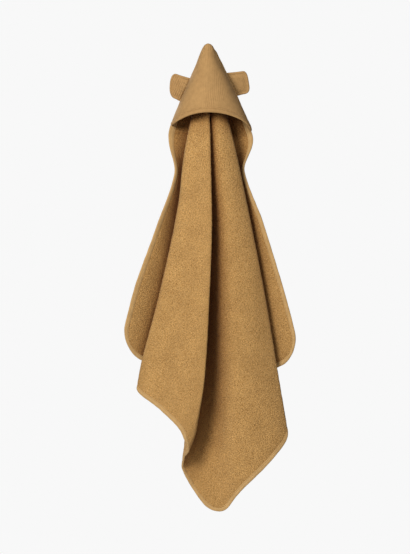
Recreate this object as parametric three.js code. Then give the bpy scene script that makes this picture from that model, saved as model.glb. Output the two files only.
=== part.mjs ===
// A hooded baby towel, hung by the loop behind the tip of its hood.
// One square of terry falls in a fan of folds from the corner that carries the hood.
// Millimetres, +Z up, +X to the right and -Y out from the wall, as it is seen from the room.
// The origin is inside the top of the hanging loop, where a peg holds the towel.
import * as THREE from 'three';

// ---- driving sizes ----
const TOWEL_SIDE = 800;
const CORNER_RADIUS = 60;
const HOOD_TIP_RADIUS = 50;
const HOOD_LEG = 261;
const TERRY_THICK = 3;
const BINDING_WIDTH = 11;
const BINDING_THICK = 4.2;
const JOIN_LENGTH = 14;
const JOIN_THICK = 5;
const GAUZE_THICK = 1.2;
const LINING_THICK = 2.4;
const HEM_WIDTH = 13;
const HEM_THICK = 4.3;
const EAR_LEFT_AT = 157;       // along the hood's seams, from the corner
const EAR_RIGHT_AT = 132;
const EAR_ROOT = 60;
const EAR_WIDTH = 57;
const EAR_LENGTH = 35;
const EAR_TAPER = 7;           // longer than that at the top and shorter at the bottom
const EAR_TOP_SIDE = 28;       // straight part of each side, before the rounded end
const EAR_LOW_SIDE = 10;
const EAR_SLANT = 0.3;         // how far it leans down the seam for each millimetre out
const EAR_FILL = 6;
const EAR_ROUNDNESS = 2.9;
const LOOP_TAPE = 8;
const LOOP_THICK = 1.2;
const LOOP_EYE = 11;
const LOOP_HEIGHT = 38;
const LABEL_AT = 560;          // along the right edge, from the corner
const LABEL_WIDTH = 24;
const LABEL_HEIGHT = 36;
const LABEL_THICK = 0.6;
const LABEL_CLEARANCE = 1;
const SEAM_GAP = 0.3;
const BINDING_GAP = BINDING_THICK / 4 + 0.15 * TERRY_THICK;

// ---- how it hangs ----
const TIP_DEPTH = 85;          // from the wall to the tip of the terry corner
const TIP_TO_PEG = 14.9;       // from the back of the bound tip to the peg's middle
const PEG_REACH = TIP_DEPTH - TIP_TO_PEG - BINDING_THICK / 2;
const TIP_ABOVE_PEG = 4;       // the rounded tip stands this far above the origin
const HOOD_STAND = 5;          // the hood's edge lies this far in front of the bound edge
const MOUTH_AT = HOOD_LEG - 6;              // along each seam, where the hood's mouth is measured
const HOOD_LEFT_HALF = MOUTH_AT * 0.34745;  // half width of the mouth there, left and right
const HOOD_RIGHT_HALF = MOUTH_AT * 0.40941;
const HOOD_WRAP = 108;         // the hood wraps this many degrees round each side
const HOOD_SWELL = 0.1;        // how much its flanks bulge, as a share of the half width
const HOOD_LEAN = 0.1667;      // how far its centre line leans out for each millimetre down
const LEFT_EASE = 24;          // the left seam is taken in by this much

const GRID = { edgeSteps: 16, cornerSteps: 5, farCornerSteps: 6, rows: 26 };
const HOOD_GRID = { across: 22, down: 9 };

// The folds. Each line runs from the corner with the hood towards the far hems, at an
// angle from the towel's diagonal when it lies flat. Its points say how it hangs:
// distance along the cloth, angle to the side, and depth out from the wall.
const FOLDS = [
  { flat: -45, hang: [[0, -19.3, 85], [MOUTH_AT, -20.2, 22], [MOUTH_AT + 119, -12.1, 38],
    [500, -13.8, 44], [670, -15.2, 38], [800, -15.0, 30]] },
  { flat: -39.5, hang: [[0, -17, 85], [190, -14.2, 34], [MOUTH_AT, -13.5, 20], [MOUTH_AT + 119, -9, 22],
    [500, -9.6, 22], [800, -10.2, 14]] },
  { flat: -34, hang: [[0, -15, 85], [130, -12, 60], [190, -9.3, 44], [MOUTH_AT, -6.5, 24],
    [MOUTH_AT + 91, -5.2, 12], [500, -5, 8], [800, -5, 6]] },
  { flat: -28, hang: [[0, -12.5, 85], [130, -11.2, 73], [190, -11.2, 67], [MOUTH_AT, -11.2, 62],
    [400, -9.8, 52], [620, -10.6, 44], [790, -11.4, 40], [900, -11, 38]] },
  { flat: -21, hang: [[0, -9, 85], [130, -6, 79], [190, -5.5, 77], [MOUTH_AT, -5, 77],
    [500, -5.2, 72], [700, -6, 70], [800, -6.6, 72], [880, -7.1, 76]] },
  { flat: -13.3, hang: [[0, -5, 85], [130, -0.5, 86], [190, 0.6, 86], [MOUTH_AT, 0.9, 90],
    [400, 1, 92], [600, 0.1, 92], [800, -0.9, 96], [880, -1.9, 100], [940, -3.4, 96]] },
  { flat: -10, hang: [[0, -3.8, 85], [190, -0.2, 74], [MOUTH_AT, -0.6, 74], [500, -1, 72],
    [800, -1.6, 78], [900, -1.7, 84], [960, -2.6, 80], [980, -3.2, 74]] },
  { flat: -6.9, hang: [[0, -2.5, 85], [130, -1.6, 72], [190, -2, 60], [MOUTH_AT, -2.8, 52],
    [500, -3.2, 22], [800, -3.4, 14], [940, -3.2, 24], [1016, -3.3, 44]] },
  { flat: -3, hang: [[0, -1, 85], [190, 0.6, 70], [MOUTH_AT, 0.2, 64], [500, -0.6, 28],
    [800, -0.9, 16], [1000, -1.2, 24], [1080, -1.25, 46]] },
  { flat: 0, hang: [[0, 0.3, 85], [190, 2.6, 75], [MOUTH_AT, 2.4, 73], [500, 1.6, 46],
    [800, 1.2, 30], [1000, 1.2, 34], [1106, 1.2, 50]] },
  { flat: 4, hang: [[0, 2.5, 85], [190, 6.6, 80], [MOUTH_AT, 6.3, 80], [500, 5.6, 70],
    [800, 4.6, 64], [1070, 4, 62]] },
  { flat: 8.5, hang: [[0, 4.5, 85], [190, 10.6, 76], [MOUTH_AT, 10.3, 75], [500, 9.8, 66],
    [800, 8.8, 62], [1000, 8.5, 60]] },
  { flat: 12.4, hang: [[0, 6, 85], [190, 13.1, 66], [MOUTH_AT, 13.2, 62], [400, 12.8, 54],
    [620, 12.2, 46], [800, 11.55, 42], [940, 11.2, 42]] },
  { flat: 16, hang: [[0, 8, 85], [190, 11.6, 56], [MOUTH_AT, 11.2, 50], [500, 10.8, 38],
    [800, 10.2, 33]] },
  { flat: 26.4, hang: [[0, 9, 85], [130, 7.5, 58], [190, 5.5, 42], [MOUTH_AT, 2.5, 24],
    [MOUTH_AT + 91, 0.5, 14], [500, -0.8, 8], [800, -1.2, 8]] },
  { flat: 35, hang: [[0, 13, 85], [190, 14, 32], [MOUTH_AT, 12.5, 18], [MOUTH_AT + 113, 8.4, 16],
    [500, 8, 12], [800, 7.8, 8]] },
  { flat: 45, hang: [[0, 26.5, 85], [MOUTH_AT, 23.8, 22], [MOUTH_AT + 97, 14, 36], [480, 15.6, 42],
    [650, 16, 36], [800, 15.7, 28]] },
];

const rad = THREE.MathUtils.degToRad;
const deg = THREE.MathUtils.radToDeg;
const lerp = THREE.MathUtils.lerp;

// ---- curves through the fold lines ----

// Slopes of a curve through given points: even slopes for folds, and slopes that never
// overshoot for the way a line hangs.
function evenSlopes(xs, ys) {
  const last = xs.length - 1;
  return xs.map((_, i) => {
    const a = Math.max(i - 1, 0);
    const b = Math.min(i + 1, last);
    return (ys[b] - ys[a]) / (xs[b] - xs[a]);
  });
}

function calmSlopes(xs, ys) {
  const rise = xs.slice(1).map((x, i) => (ys[i + 1] - ys[i]) / (x - xs[i]));
  return xs.map((_, i) => {
    const before = rise[Math.max(i - 1, 0)];
    const after = rise[Math.min(i, rise.length - 1)];
    return before * after <= 0 ? 0 : (2 * before * after) / (before + after);
  });
}

function curveAt(xs, ys, slopes, x) {
  if (x <= xs[0]) return ys[0];
  const last = xs.length - 1;
  if (x >= xs[last]) return ys[last];
  let i = 0;
  while (x > xs[i + 1]) i += 1;
  const step = xs[i + 1] - xs[i];
  const t = (x - xs[i]) / step;
  const u = 1 - t;
  return ys[i] * u * u * (1 + 2 * t) + ys[i + 1] * t * t * (3 - 2 * t)
    + step * (slopes[i] * t * u * u - slopes[i + 1] * t * t * u);
}

// ---- the hanging terry, as a function of where a point is on the flat cloth ----

const flatAngles = FOLDS.map((fold) => fold.flat);
const hangCurves = FOLDS.map(({ hang }) => {
  const along = hang.map((p) => p[0]);
  const side = hang.map((p) => p[1]);
  const depth = hang.map((p) => p[2]);
  return { along, side, depth, sideSlope: calmSlopes(along, side),
    depthSlope: calmSlopes(along, depth) };
});

// One cut across all the folds at a distance from the corner.
function crossSection(along) {
  const across = [];
  const out = [];
  for (const c of hangCurves) {
    across.push(along * Math.sin(rad(curveAt(c.along, c.side, c.sideSlope, along))));
    out.push(-curveAt(c.along, c.depth, c.depthSlope, along));
  }
  return { across, out, acrossSlope: evenSlopes(flatAngles, across),
    outSlope: evenSlopes(flatAngles, out) };
}

function cutAt(section, angle) {
  return [curveAt(flatAngles, section.across, section.acrossSlope, angle),
    curveAt(flatAngles, section.out, section.outSlope, angle)];
}

// The corner of the cloth before its tip is rounded.
const CORNER_ABOVE_TIP = HOOD_TIP_RADIUS * (Math.SQRT2 - 1);
const CORNER_Z = TIP_ABOVE_PEG + CORNER_ABOVE_TIP;

// Heights follow from the length of the cloth: each line drops by what its sideways and
// outward runs leave of its length.
const HEIGHT_STEP = 10;
const ANGLE_STEP = 1;
const heightTable = [];
{
  const steps = Math.ceil((TOWEL_SIDE * Math.SQRT2) / HEIGHT_STEP) + 1;
  let before = crossSection(0);
  const count = 90 / ANGLE_STEP + 1;
  heightTable.push(new Array(count).fill(CORNER_Z));
  for (let i = 1; i <= steps; i += 1) {
    const here = crossSection(i * HEIGHT_STEP);
    const row = heightTable[i - 1].map((height, j) => {
      const angle = -45 + j * ANGLE_STEP;
      const [x0, y0] = cutAt(before, angle);
      const [x1, y1] = cutAt(here, angle);
      const run = HEIGHT_STEP ** 2 - (x1 - x0) ** 2 - (y1 - y0) ** 2;
      return height - Math.sqrt(Math.max(run, 1));
    });
    heightTable.push(row);
    before = here;
  }
}

function heightAt(along, angle) {
  const i = Math.min(Math.floor(along / HEIGHT_STEP), heightTable.length - 2);
  const j = Math.min(Math.floor((angle + 45) / ANGLE_STEP), heightTable[0].length - 2);
  const fi = along / HEIGHT_STEP - i;
  const fj = (angle + 45) / ANGLE_STEP - j;
  const near = lerp(heightTable[i][j], heightTable[i][j + 1], fj);
  const far = lerp(heightTable[i + 1][j], heightTable[i + 1][j + 1], fj);
  const towardsEdge = THREE.MathUtils.smoothstep(-angle, 28, 45);
  const ease = LEFT_EASE * towardsEdge * THREE.MathUtils.smoothstep(along, 0, MOUTH_AT);
  return lerp(near, far, fi) + ease;
}

// A flat place is [a, b]: millimetres along the left and the right leg from the corner.
function polar([a, b]) {
  const angle = deg(Math.atan2(b - a, a + b));
  return { along: Math.hypot(a, b), angle: THREE.MathUtils.clamp(angle, -45, 45) };
}

function terryAt(place) {
  const { along, angle } = polar(place);
  const [x, y] = cutAt(crossSection(along), angle);
  return new THREE.Vector3(x, PEG_REACH + y, heightAt(along, angle));
}

// ---- the hood, a blunt half cone that opens downwards ----

const hoodFront = TIP_DEPTH + HOOD_STAND + HOOD_LEAN * MOUTH_AT;
const hoodEdge = FOLDS[0].hang[1][2] + HOOD_STAND;
const hoodBelly = (hoodFront - hoodEdge) / (1 - Math.cos(rad(HOOD_WRAP)));
const LEFT_DROP = MOUTH_AT * 0.7882;   // from the corner down to each end of the mouth
const RIGHT_DROP = MOUTH_AT * 0.8392;
const SIDE_TURN = 2.5;         // the mouth keeps its front height this long, then turns up

function hoodAt(place) {
  const { along, angle } = polar(place);
  const turn = rad((angle / 45) * HOOD_WRAP);
  const sideDrop = angle < 0 ? LEFT_DROP : RIGHT_DROP;
  const frontDrop = MOUTH_AT * Math.sqrt(1 - HOOD_LEAN ** 2);
  const toSide = (1 - Math.cos(turn)) / (1 - Math.cos(rad(HOOD_WRAP)));
  const depth = hoodFront - hoodBelly * (1 - Math.cos(turn));
  const reach = along / MOUTH_AT;
  const midway = Math.exp(-(((reach - 0.75) / 0.22) ** 2));
  const swell = HOOD_SWELL * midway * (1 - (angle / 45) ** 4);
  const half = (angle < 0 ? HOOD_LEFT_HALF : HOOD_RIGHT_HALF) * (1 + swell);
  return new THREE.Vector3(
    reach * half * Math.sin(turn),
    PEG_REACH - lerp(TIP_DEPTH + HOOD_STAND, depth, reach),
    CORNER_Z - reach * lerp(frontDrop, sideDrop, toSide ** SIDE_TURN),
  );
}

// ---- sheets of cloth as closed solids ----

// The outward side of every sheet is the side that faces the room.
function facing(surface, [a, b]) {
  const h = 0.5;
  const alongA = surface([a + h, b]).sub(surface([a - h, b]));
  const alongB = surface([a, b + h]).sub(surface([a, b - h]));
  return alongA.cross(alongB).normalize();
}

// A grid of flat places becomes a grid of points, moved off the surface by an amount.
function lay(surface, places, offset) {
  return places.map((row) => row.map((place) => {
    const shift = typeof offset === 'function' ? offset(place) : offset;
    return surface(place).addScaledVector(facing(surface, place), shift);
  }));
}

// The closed solid between two grids of points of the same size.
function between(front, back) {
  const rows = front.length;
  const columns = front[0].length;
  const positions = [...front.flat(), ...back.flat()].flatMap((p) => [p.x, p.y, p.z]);
  const index = [];
  const f = (i, j) => i * columns + j;
  const b = (i, j) => rows * columns + i * columns + j;
  const quad = (p, q, r, s) => index.push(p, q, r, p, r, s);
  for (let i = 0; i < rows - 1; i += 1) {
    for (let j = 0; j < columns - 1; j += 1) {
      quad(f(i, j), f(i + 1, j), f(i + 1, j + 1), f(i, j + 1));
      quad(b(i, j), b(i, j + 1), b(i + 1, j + 1), b(i + 1, j));
    }
    quad(f(i, 0), b(i, 0), b(i + 1, 0), f(i + 1, 0));
    quad(f(i + 1, columns - 1), b(i + 1, columns - 1), b(i, columns - 1), f(i, columns - 1));
  }
  for (let j = 0; j < columns - 1; j += 1) {
    quad(f(0, j + 1), b(0, j + 1), b(0, j), f(0, j));
    quad(f(rows - 1, j), b(rows - 1, j), b(rows - 1, j + 1), f(rows - 1, j + 1));
  }
  const geometry = new THREE.BufferGeometry();
  geometry.setAttribute('position', new THREE.Float32BufferAttribute(positions, 3));
  geometry.setIndex(index);
  geometry.computeVertexNormals();
  return geometry;
}

function sheet(surface, places, thickness, middle = 0) {
  return between(lay(surface, places, middle + thickness / 2),
    lay(surface, places, middle - thickness / 2));
}

const group = new THREE.Group();

function add(name, geometry, color, roughness) {
  const material = new THREE.MeshStandardMaterial({ color, roughness, metalness: 0 });
  const mesh = new THREE.Mesh(geometry, material);
  mesh.name = name;
  group.add(mesh);
  return mesh;
}

const TERRY_COLOR = 0xb88f54;
const GAUZE_COLOR = 0xbe9662;
const BINDING_COLOR = 0xc09a5e;
const TAPE_COLOR = 0xa9824c;
const WADDING_COLOR = 0xf2eee6;
const LABEL_COLOR = 0xf4f1ea;

// ---- the flat outline: a square with rounded corners, drawn in by an inset ----

function arc(centerA, centerB, radius, from, to, steps) {
  return Array.from({ length: steps + 1 }, (_, i) => {
    const turn = rad(lerp(from, to, i / steps));
    return [centerA + radius * Math.cos(turn), centerB + radius * Math.sin(turn)];
  });
}

function straight(from, to, steps) {
  return Array.from({ length: steps + 1 }, (_, i) => [lerp(from[0], to[0], i / steps),
    lerp(from[1], to[1], i / steps)]);
}

// From the left side corner, round the far corner, to the right side corner.
function farOutline(inset) {
  const radius = CORNER_RADIUS - inset;
  const low = CORNER_RADIUS;
  const high = TOWEL_SIDE - CORNER_RADIUS;
  const edge = TOWEL_SIDE - inset;
  return [
    ...arc(high, low, radius, -90, 0, GRID.cornerSteps),
    ...straight([edge, low], [edge, high], GRID.edgeSteps).slice(1, -1),
    ...arc(high, high, radius, 0, 90, GRID.farCornerSteps),
    ...straight([high, edge], [low, edge], GRID.edgeSteps).slice(1, -1),
    ...arc(low, high, radius, 90, 180, GRID.cornerSteps),
  ];
}

function tipPlace(inset, share) {
  const turn = rad(lerp(270, 180, share));
  const radius = HOOD_TIP_RADIUS - inset;
  return [HOOD_TIP_RADIUS + radius * Math.cos(turn), HOOD_TIP_RADIUS + radius * Math.sin(turn)];
}

// Lines that fan out from the rounded tip to the given far places.
function fan(inset, far, rowShares) {
  const first = polar(far[0]).angle;
  const last = polar(far[far.length - 1]).angle;
  const starts = far.map((place) => tipPlace(inset, (polar(place).angle - first) / (last - first)));
  return rowShares.map((share) => far.map((place, j) => [lerp(starts[j][0], place[0], share),
    lerp(starts[j][1], place[1], share)]));
}

const evenShares = (steps) => Array.from({ length: steps + 1 }, (_, i) => i / steps);

// ---- terry panel ----

const TERRY_INSET = BINDING_WIDTH + BINDING_GAP;
const terryPlaces = fan(TERRY_INSET, farOutline(TERRY_INSET), evenShares(GRID.rows));
add('terry_panel', sheet(terryAt, terryPlaces, TERRY_THICK), TERRY_COLOR, 0.95);

// ---- edge binding: a folded tape all round the terry, and the lap where its ends meet ----

function outward([a, b]) {
  const nearA = a < TOWEL_SIDE / 2;
  const nearB = b < TOWEL_SIDE / 2;
  const radius = nearA && nearB ? HOOD_TIP_RADIUS : CORNER_RADIUS;
  const coreA = nearA ? Math.max(radius - a, 0) : Math.min(TOWEL_SIDE - radius - a, 0);
  const coreB = nearB ? Math.max(radius - b, 0) : Math.min(TOWEL_SIDE - radius - b, 0);
  if (coreA !== 0 && coreB !== 0) {
    const length = Math.hypot(coreA, coreB);
    return [-coreA / length, -coreB / length];
  }
  const toSides = [[-1, 0, a], [1, 0, TOWEL_SIDE - a], [0, -1, b], [0, 1, TOWEL_SIDE - b]];
  const [na, nb] = toSides.sort((p, q) => p[2] - q[2])[0];
  return [na, nb];
}

const lastRow = terryPlaces.length - 1;
const lastColumn = terryPlaces[0].length - 1;
const leftRim = terryPlaces.map((row) => row[0]);
const farRim = terryPlaces[lastRow].slice(1, -1);
const rightRim = terryPlaces.map((row) => row[lastColumn]).reverse();
const tipRim = terryPlaces[0].slice(1, -1).reverse();
const rim = [...leftRim, ...farRim, ...rightRim, ...tipRim];
const bindingPlaces = rim.map(([a, b]) => {
  const [na, nb] = outward([a, b]);
  return [BINDING_GAP + BINDING_WIDTH, BINDING_GAP + BINDING_WIDTH / 2, BINDING_GAP]
    .map((out) => [a + na * out, b + nb * out]);
});

// The lap lies on the straight left hem, just before the far corner.
const joinSpan = leftRim.length + GRID.cornerSteps + GRID.edgeSteps - 3;

function bindingRows(offset) {
  const rows = lay(terryAt, bindingPlaces, offset);
  const from = rows[joinSpan];
  const to = rows[joinSpan + 1];
  const length = from[1].distanceTo(to[1]);
  const middle = 0.5;
  const half = JOIN_LENGTH / 2 / length;
  const gap = SEAM_GAP / length;
  const cut = (share) => from.map((p, k) => p.clone().lerp(to[k], share));
  const tape = [cut(middle + half + gap), ...rows.slice(joinSpan + 1),
    ...rows.slice(0, joinSpan + 1), cut(middle - half - gap)];
  return { tape, join: [cut(middle - half), cut(middle + half)] };
}

add('edge_binding', between(bindingRows(BINDING_THICK / 2).tape,
  bindingRows(-BINDING_THICK / 2).tape), BINDING_COLOR, 0.8);
add('binding_join', between(bindingRows(JOIN_THICK / 2).join,
  bindingRows(-JOIN_THICK / 2).join), BINDING_COLOR, 0.8);

// ---- hood: gauze outside, terry lining inside, and a folded hem band at its mouth ----

const HOOD_INSET = 2;
const LINING_INSET = 6;
const LINING_TOP = 60;         // the lining starts this far below the corner
const LINING_GAP = 0.8;
const hemDown = HOOD_LEG / Math.SQRT2;

// Places on the hood between two distances down its centre line.
function hoodPlaces(inset, top, bottom, rows) {
  const far = straight([HOOD_LEG - inset, inset], [inset, HOOD_LEG - inset], HOOD_GRID.across);
  const ends = fan(inset, far, [0, 1]);
  return evenShares(rows).map((share) => far.map((_, j) => {
    const start = ends[0][j];
    const end = ends[1][j];
    const startDown = (start[0] + start[1]) / Math.SQRT2;
    const down = lerp(Math.max(top, startDown), bottom, share);
    const t = (down - startDown) / (hemDown - startDown);
    return [lerp(start[0], end[0], t), lerp(start[1], end[1], t)];
  }));
}

const bandTop = hemDown - HEM_WIDTH;
const liningMiddle = -(GAUZE_THICK / 2 + LINING_GAP + LINING_THICK / 2);
const hemMiddle = (GAUZE_THICK + SEAM_GAP) / 2 - HEM_THICK / 2;
add('hood_panel', sheet(hoodAt, hoodPlaces(HOOD_INSET, 0, bandTop - SEAM_GAP,
  HOOD_GRID.down), GAUZE_THICK), GAUZE_COLOR, 0.9);
add('hood_lining', sheet(hoodAt, hoodPlaces(LINING_INSET, LINING_TOP, bandTop - SEAM_GAP,
  HOOD_GRID.down), LINING_THICK, liningMiddle), TERRY_COLOR, 0.95);
add('hood_hem_band', sheet(hoodAt, hoodPlaces(HOOD_INSET, bandTop, hemDown, 1), HEM_THICK,
  hemMiddle), GAUZE_COLOR, 0.9);

// ---- ears: two gauze shells sewn round their rim over a thin wadding ----

const EAR_GRID = { across: 12, out: 8 };
const EAR_CLEARANCE = 2.4;
const WADDING_INSET = 0.84;    // the wadding stops short of the rim

// s runs across the ear from -1 to 1 and t from the root to the rim, from 0 to 1.
function earShape(side, place) {
  const seam = (along) => terryAt(side < 0 ? [along, 0] : [0, along]);
  const root = seam(place);
  const down = seam(place + EAR_ROOT / 2).sub(seam(place - EAR_ROOT / 2)).normalize();
  const out = new THREE.Vector3(side, 0.1, 0);
  out.addScaledVector(down, -out.dot(down)).normalize();
  const front = side < 0 ? down.clone().cross(out) : out.clone().cross(down);
  if (front.y > 0) front.negate();
  root.addScaledVector(out, EAR_CLEARANCE);
  const reach = (s) => {
    const straightSide = lerp(EAR_TOP_SIDE, EAR_LOW_SIDE, (s + 1) / 2);
    const round = (1 - Math.abs(s) ** EAR_ROUNDNESS) ** (1 / EAR_ROUNDNESS);
    return lerp(straightSide, EAR_LENGTH - EAR_TAPER * s, round);
  };
  const halfWidth = (t) => lerp(EAR_ROOT, EAR_WIDTH, Math.sin((t * Math.PI) / 2)) / 2;
  const swell = (s, t) => (EAR_FILL / 2) * (1 - s * s) * Math.sin(Math.PI * Math.min(t, 1));
  const at = (s, t, lift) => root.clone()
    .addScaledVector(down, s * halfWidth(t) + EAR_SLANT * t * reach(s))
    .addScaledVector(out, t * reach(s))
    .addScaledVector(front, lift);
  return { at, swell };
}

function earLayer(shape, side, inset, low, high) {
  const spread = evenShares(EAR_GRID.across)
    .map((share) => side * inset * Math.sin(Math.PI * (share - 0.5)));
  const steps = evenShares(EAR_GRID.out).map((share) => (1 - inset) / 2 + inset * share);
  const grid = (lift) => spread.map((s) => steps.map((t) => shape.at(s, t, lift(s, t))));
  return between(grid(high), grid(low));
}

for (const [name, side, place] of [['ear_left', -1, EAR_LEFT_AT],
  ['ear_right', 1, EAR_RIGHT_AT]]) {
  const shape = earShape(side, place);
  const skin = (s, t) => shape.swell(s, t) + SEAM_GAP / 2;
  const core = (s, t) => Math.max(shape.swell(s, t) - SEAM_GAP / 2, 0.25);
  add(`${name}_front`, earLayer(shape, side, 1, skin, (s, t) => skin(s, t) + GAUZE_THICK),
    GAUZE_COLOR, 0.9);
  add(`${name}_wadding`, earLayer(shape, side, WADDING_INSET, (s, t) => -core(s, t), core),
    WADDING_COLOR, 1);
  add(`${name}_back`, earLayer(shape, side, 1, (s, t) => -skin(s, t) - GAUZE_THICK,
    (s, t) => -skin(s, t)), GAUZE_COLOR, 0.9);
}

// ---- hanging loop: a narrow tape folded over, its ends sewn behind the hood's tip ----

const LOOP_BEND_STEPS = 10;

function loopRibbon(grow) {
  const radius = LOOP_EYE / 2 + grow;
  const bend = Array.from({ length: LOOP_BEND_STEPS + 1 }, (_, i) => {
    const turn = rad(lerp(180, 0, i / LOOP_BEND_STEPS));
    return [radius * Math.cos(turn), -LOOP_EYE / 2 + radius * Math.sin(turn)];
  });
  const path = [[-radius, -LOOP_HEIGHT], ...bend, [radius, -LOOP_HEIGHT]];
  return path.map(([x, z]) => [new THREE.Vector3(x, -LOOP_TAPE / 2, z),
    new THREE.Vector3(x, LOOP_TAPE / 2, z)]);
}

add('hanging_loop', between(loopRibbon(LOOP_THICK), loopRibbon(0)), TAPE_COLOR, 0.8);

// ---- care label: a blank woven strip sewn behind the bound edge of the right wing ----

const labelPlace = [BINDING_WIDTH + LABEL_WIDTH / 2, LABEL_AT];
const labelTop = terryAt(labelPlace);
const behindLabel = [0, BINDING_WIDTH + 2 * LABEL_WIDTH]
  .flatMap((inset) => [terryAt([inset, LABEL_AT]).y, terryAt([inset, LABEL_AT + LABEL_HEIGHT]).y]);
labelTop.y = Math.max(...behindLabel) + BINDING_THICK / 2 + LABEL_CLEARANCE + LABEL_THICK / 2;
const label = new THREE.BoxGeometry(LABEL_WIDTH, LABEL_THICK, LABEL_HEIGHT);
const labelMesh = add('care_label', label, LABEL_COLOR, 0.7);
labelMesh.position.set(labelTop.x, labelTop.y, labelTop.z - LABEL_HEIGHT / 2);

export default group;
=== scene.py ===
# A hooded baby towel of ochre terry, hanging in folds from a loop behind the tip of its hood.
# Lengths are in millimetres until a mesh is made. +Z is up and -Y points out from the wall.
import math

import bpy
import numpy as np
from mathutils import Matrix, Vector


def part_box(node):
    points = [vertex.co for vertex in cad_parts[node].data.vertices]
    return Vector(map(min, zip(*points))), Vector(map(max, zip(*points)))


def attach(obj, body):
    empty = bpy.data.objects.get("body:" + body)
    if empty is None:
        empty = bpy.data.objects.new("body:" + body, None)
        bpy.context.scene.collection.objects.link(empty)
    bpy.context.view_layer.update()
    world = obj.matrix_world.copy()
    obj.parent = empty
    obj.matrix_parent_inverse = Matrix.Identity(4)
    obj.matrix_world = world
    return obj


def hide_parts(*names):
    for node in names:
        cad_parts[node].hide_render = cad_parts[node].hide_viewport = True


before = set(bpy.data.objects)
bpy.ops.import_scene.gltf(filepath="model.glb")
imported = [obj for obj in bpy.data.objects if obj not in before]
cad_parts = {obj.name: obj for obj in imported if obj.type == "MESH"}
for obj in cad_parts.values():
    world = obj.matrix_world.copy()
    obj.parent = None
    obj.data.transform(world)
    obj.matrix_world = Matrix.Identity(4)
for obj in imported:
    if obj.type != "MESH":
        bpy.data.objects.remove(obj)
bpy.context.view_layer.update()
MM = 0.001

# ------------------------------------------------------------------------------------------
# Terry panel. One square of looped cotton terry with rounded corners. The hood sits on one
# corner, and the cloth falls from it in a fan of folds, with the side corners behind.
# ------------------------------------------------------------------------------------------
TOWEL_SIDE = 800
CORNER_RADIUS = 60
HOOD_TIP_RADIUS = 50
HOOD_LEG = 261                 # each side of the hood's triangle
MOUTH_AT = HOOD_LEG - 6        # along each seam, where the hood's mouth is measured
TERRY_THICK = 3.0
TERRY_MESH = 4.3               # side of one mesh square on the flat cloth
PILE = 0.32                    # how far the loops stand up and down
TAPE_HOLD = 10                 # the tape presses the loops flat this far in from the edge
LOOPS_FREE = 15                # and from here inwards they stand up again
PRESSED_BY = 0.8
FLUFFED_BY = 0.25
PEG_REACH = 68                 # from the wall to the peg that the loop hangs on
TIP_ABOVE_PEG = 4
LEFT_EASE = 24                 # the left side corner hangs this much higher
CORNER_Z = TIP_ABOVE_PEG + HOOD_TIP_RADIUS * (math.sqrt(2) - 1)

# Each fold line: its angle from the diagonal of the flat towel, then how it hangs, as
# distance along the cloth, angle to the side, and depth out from the wall.
FOLDS = [
    (-45, [(0, -19.3, 85), (MOUTH_AT, -20.2, 22), (374, -12.1, 38), (500, -13.8, 44),
           (670, -15.2, 38), (800, -15.0, 30)]),
    (-39.5, [(0, -17, 85), (190, -14.2, 34), (MOUTH_AT, -13.5, 20), (374, -9, 22),
             (500, -9.6, 22), (800, -10.2, 14)]),
    (-34, [(0, -15, 85), (130, -12, 60), (190, -9.3, 44), (MOUTH_AT, -6.5, 24),
           (346, -5.2, 12), (500, -5, 8), (800, -5, 6)]),
    (-28, [(0, -12.5, 85), (130, -11.2, 73), (190, -11.2, 67), (MOUTH_AT, -11.2, 62),
           (400, -9.8, 52), (620, -10.6, 44), (790, -11.4, 40), (900, -11, 38)]),
    (-21, [(0, -9, 85), (130, -6, 79), (190, -5.5, 77), (MOUTH_AT, -5, 77),
           (500, -5.2, 72), (700, -6, 70), (800, -6.6, 72), (880, -7.1, 76)]),
    (-13.3, [(0, -5, 85), (130, -0.5, 86), (190, 0.6, 86), (MOUTH_AT, 0.9, 90),
             (400, 1, 92), (600, 0.1, 92), (800, -0.9, 96), (880, -1.9, 100),
             (940, -3.4, 96)]),
    (-10, [(0, -3.8, 85), (190, -0.2, 74), (MOUTH_AT, -0.6, 74), (500, -1, 72),
           (800, -1.6, 78), (900, -1.7, 84), (960, -2.6, 80), (980, -3.2, 74)]),
    (-6.9, [(0, -2.5, 85), (130, -1.6, 72), (190, -2, 60), (MOUTH_AT, -2.8, 52),
            (500, -3.2, 22), (800, -3.4, 14), (940, -3.2, 24), (1016, -3.3, 44)]),
    (-3, [(0, -1, 85), (190, 0.6, 70), (MOUTH_AT, 0.2, 64), (500, -0.6, 28),
          (800, -0.9, 16), (1000, -1.2, 24), (1080, -1.25, 46)]),
    (0, [(0, 0.3, 85), (190, 2.6, 75), (MOUTH_AT, 2.4, 73), (500, 1.6, 46),
         (800, 1.2, 30), (1000, 1.2, 34), (1106, 1.2, 50)]),
    (4, [(0, 2.5, 85), (190, 6.6, 80), (MOUTH_AT, 6.3, 80), (500, 5.6, 70),
         (800, 4.6, 64), (1070, 4, 62)]),
    (8.5, [(0, 4.5, 85), (190, 10.6, 76), (MOUTH_AT, 10.3, 75), (500, 9.8, 66),
           (800, 8.8, 62), (1000, 8.5, 60)]),
    (12.4, [(0, 6, 85), (190, 13.1, 66), (MOUTH_AT, 13.2, 62), (400, 12.8, 54),
            (620, 12.2, 46), (800, 11.55, 42), (940, 11.2, 42)]),
    (16, [(0, 8, 85), (190, 11.6, 56), (MOUTH_AT, 11.2, 50), (500, 10.8, 38),
          (800, 10.2, 33)]),
    (26.4, [(0, 9, 85), (130, 7.5, 58), (190, 5.5, 42), (MOUTH_AT, 2.5, 24),
            (346, 0.5, 14), (500, -0.8, 8), (800, -1.2, 8)]),
    (35, [(0, 13, 85), (190, 14, 32), (MOUTH_AT, 12.5, 18), (368, 8.4, 16),
          (500, 8, 12), (800, 7.8, 8)]),
    (45, [(0, 26.5, 85), (MOUTH_AT, 23.8, 22), (352, 14, 36), (480, 15.6, 42),
          (650, 16, 36), (800, 15.7, 28)]),
]
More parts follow.
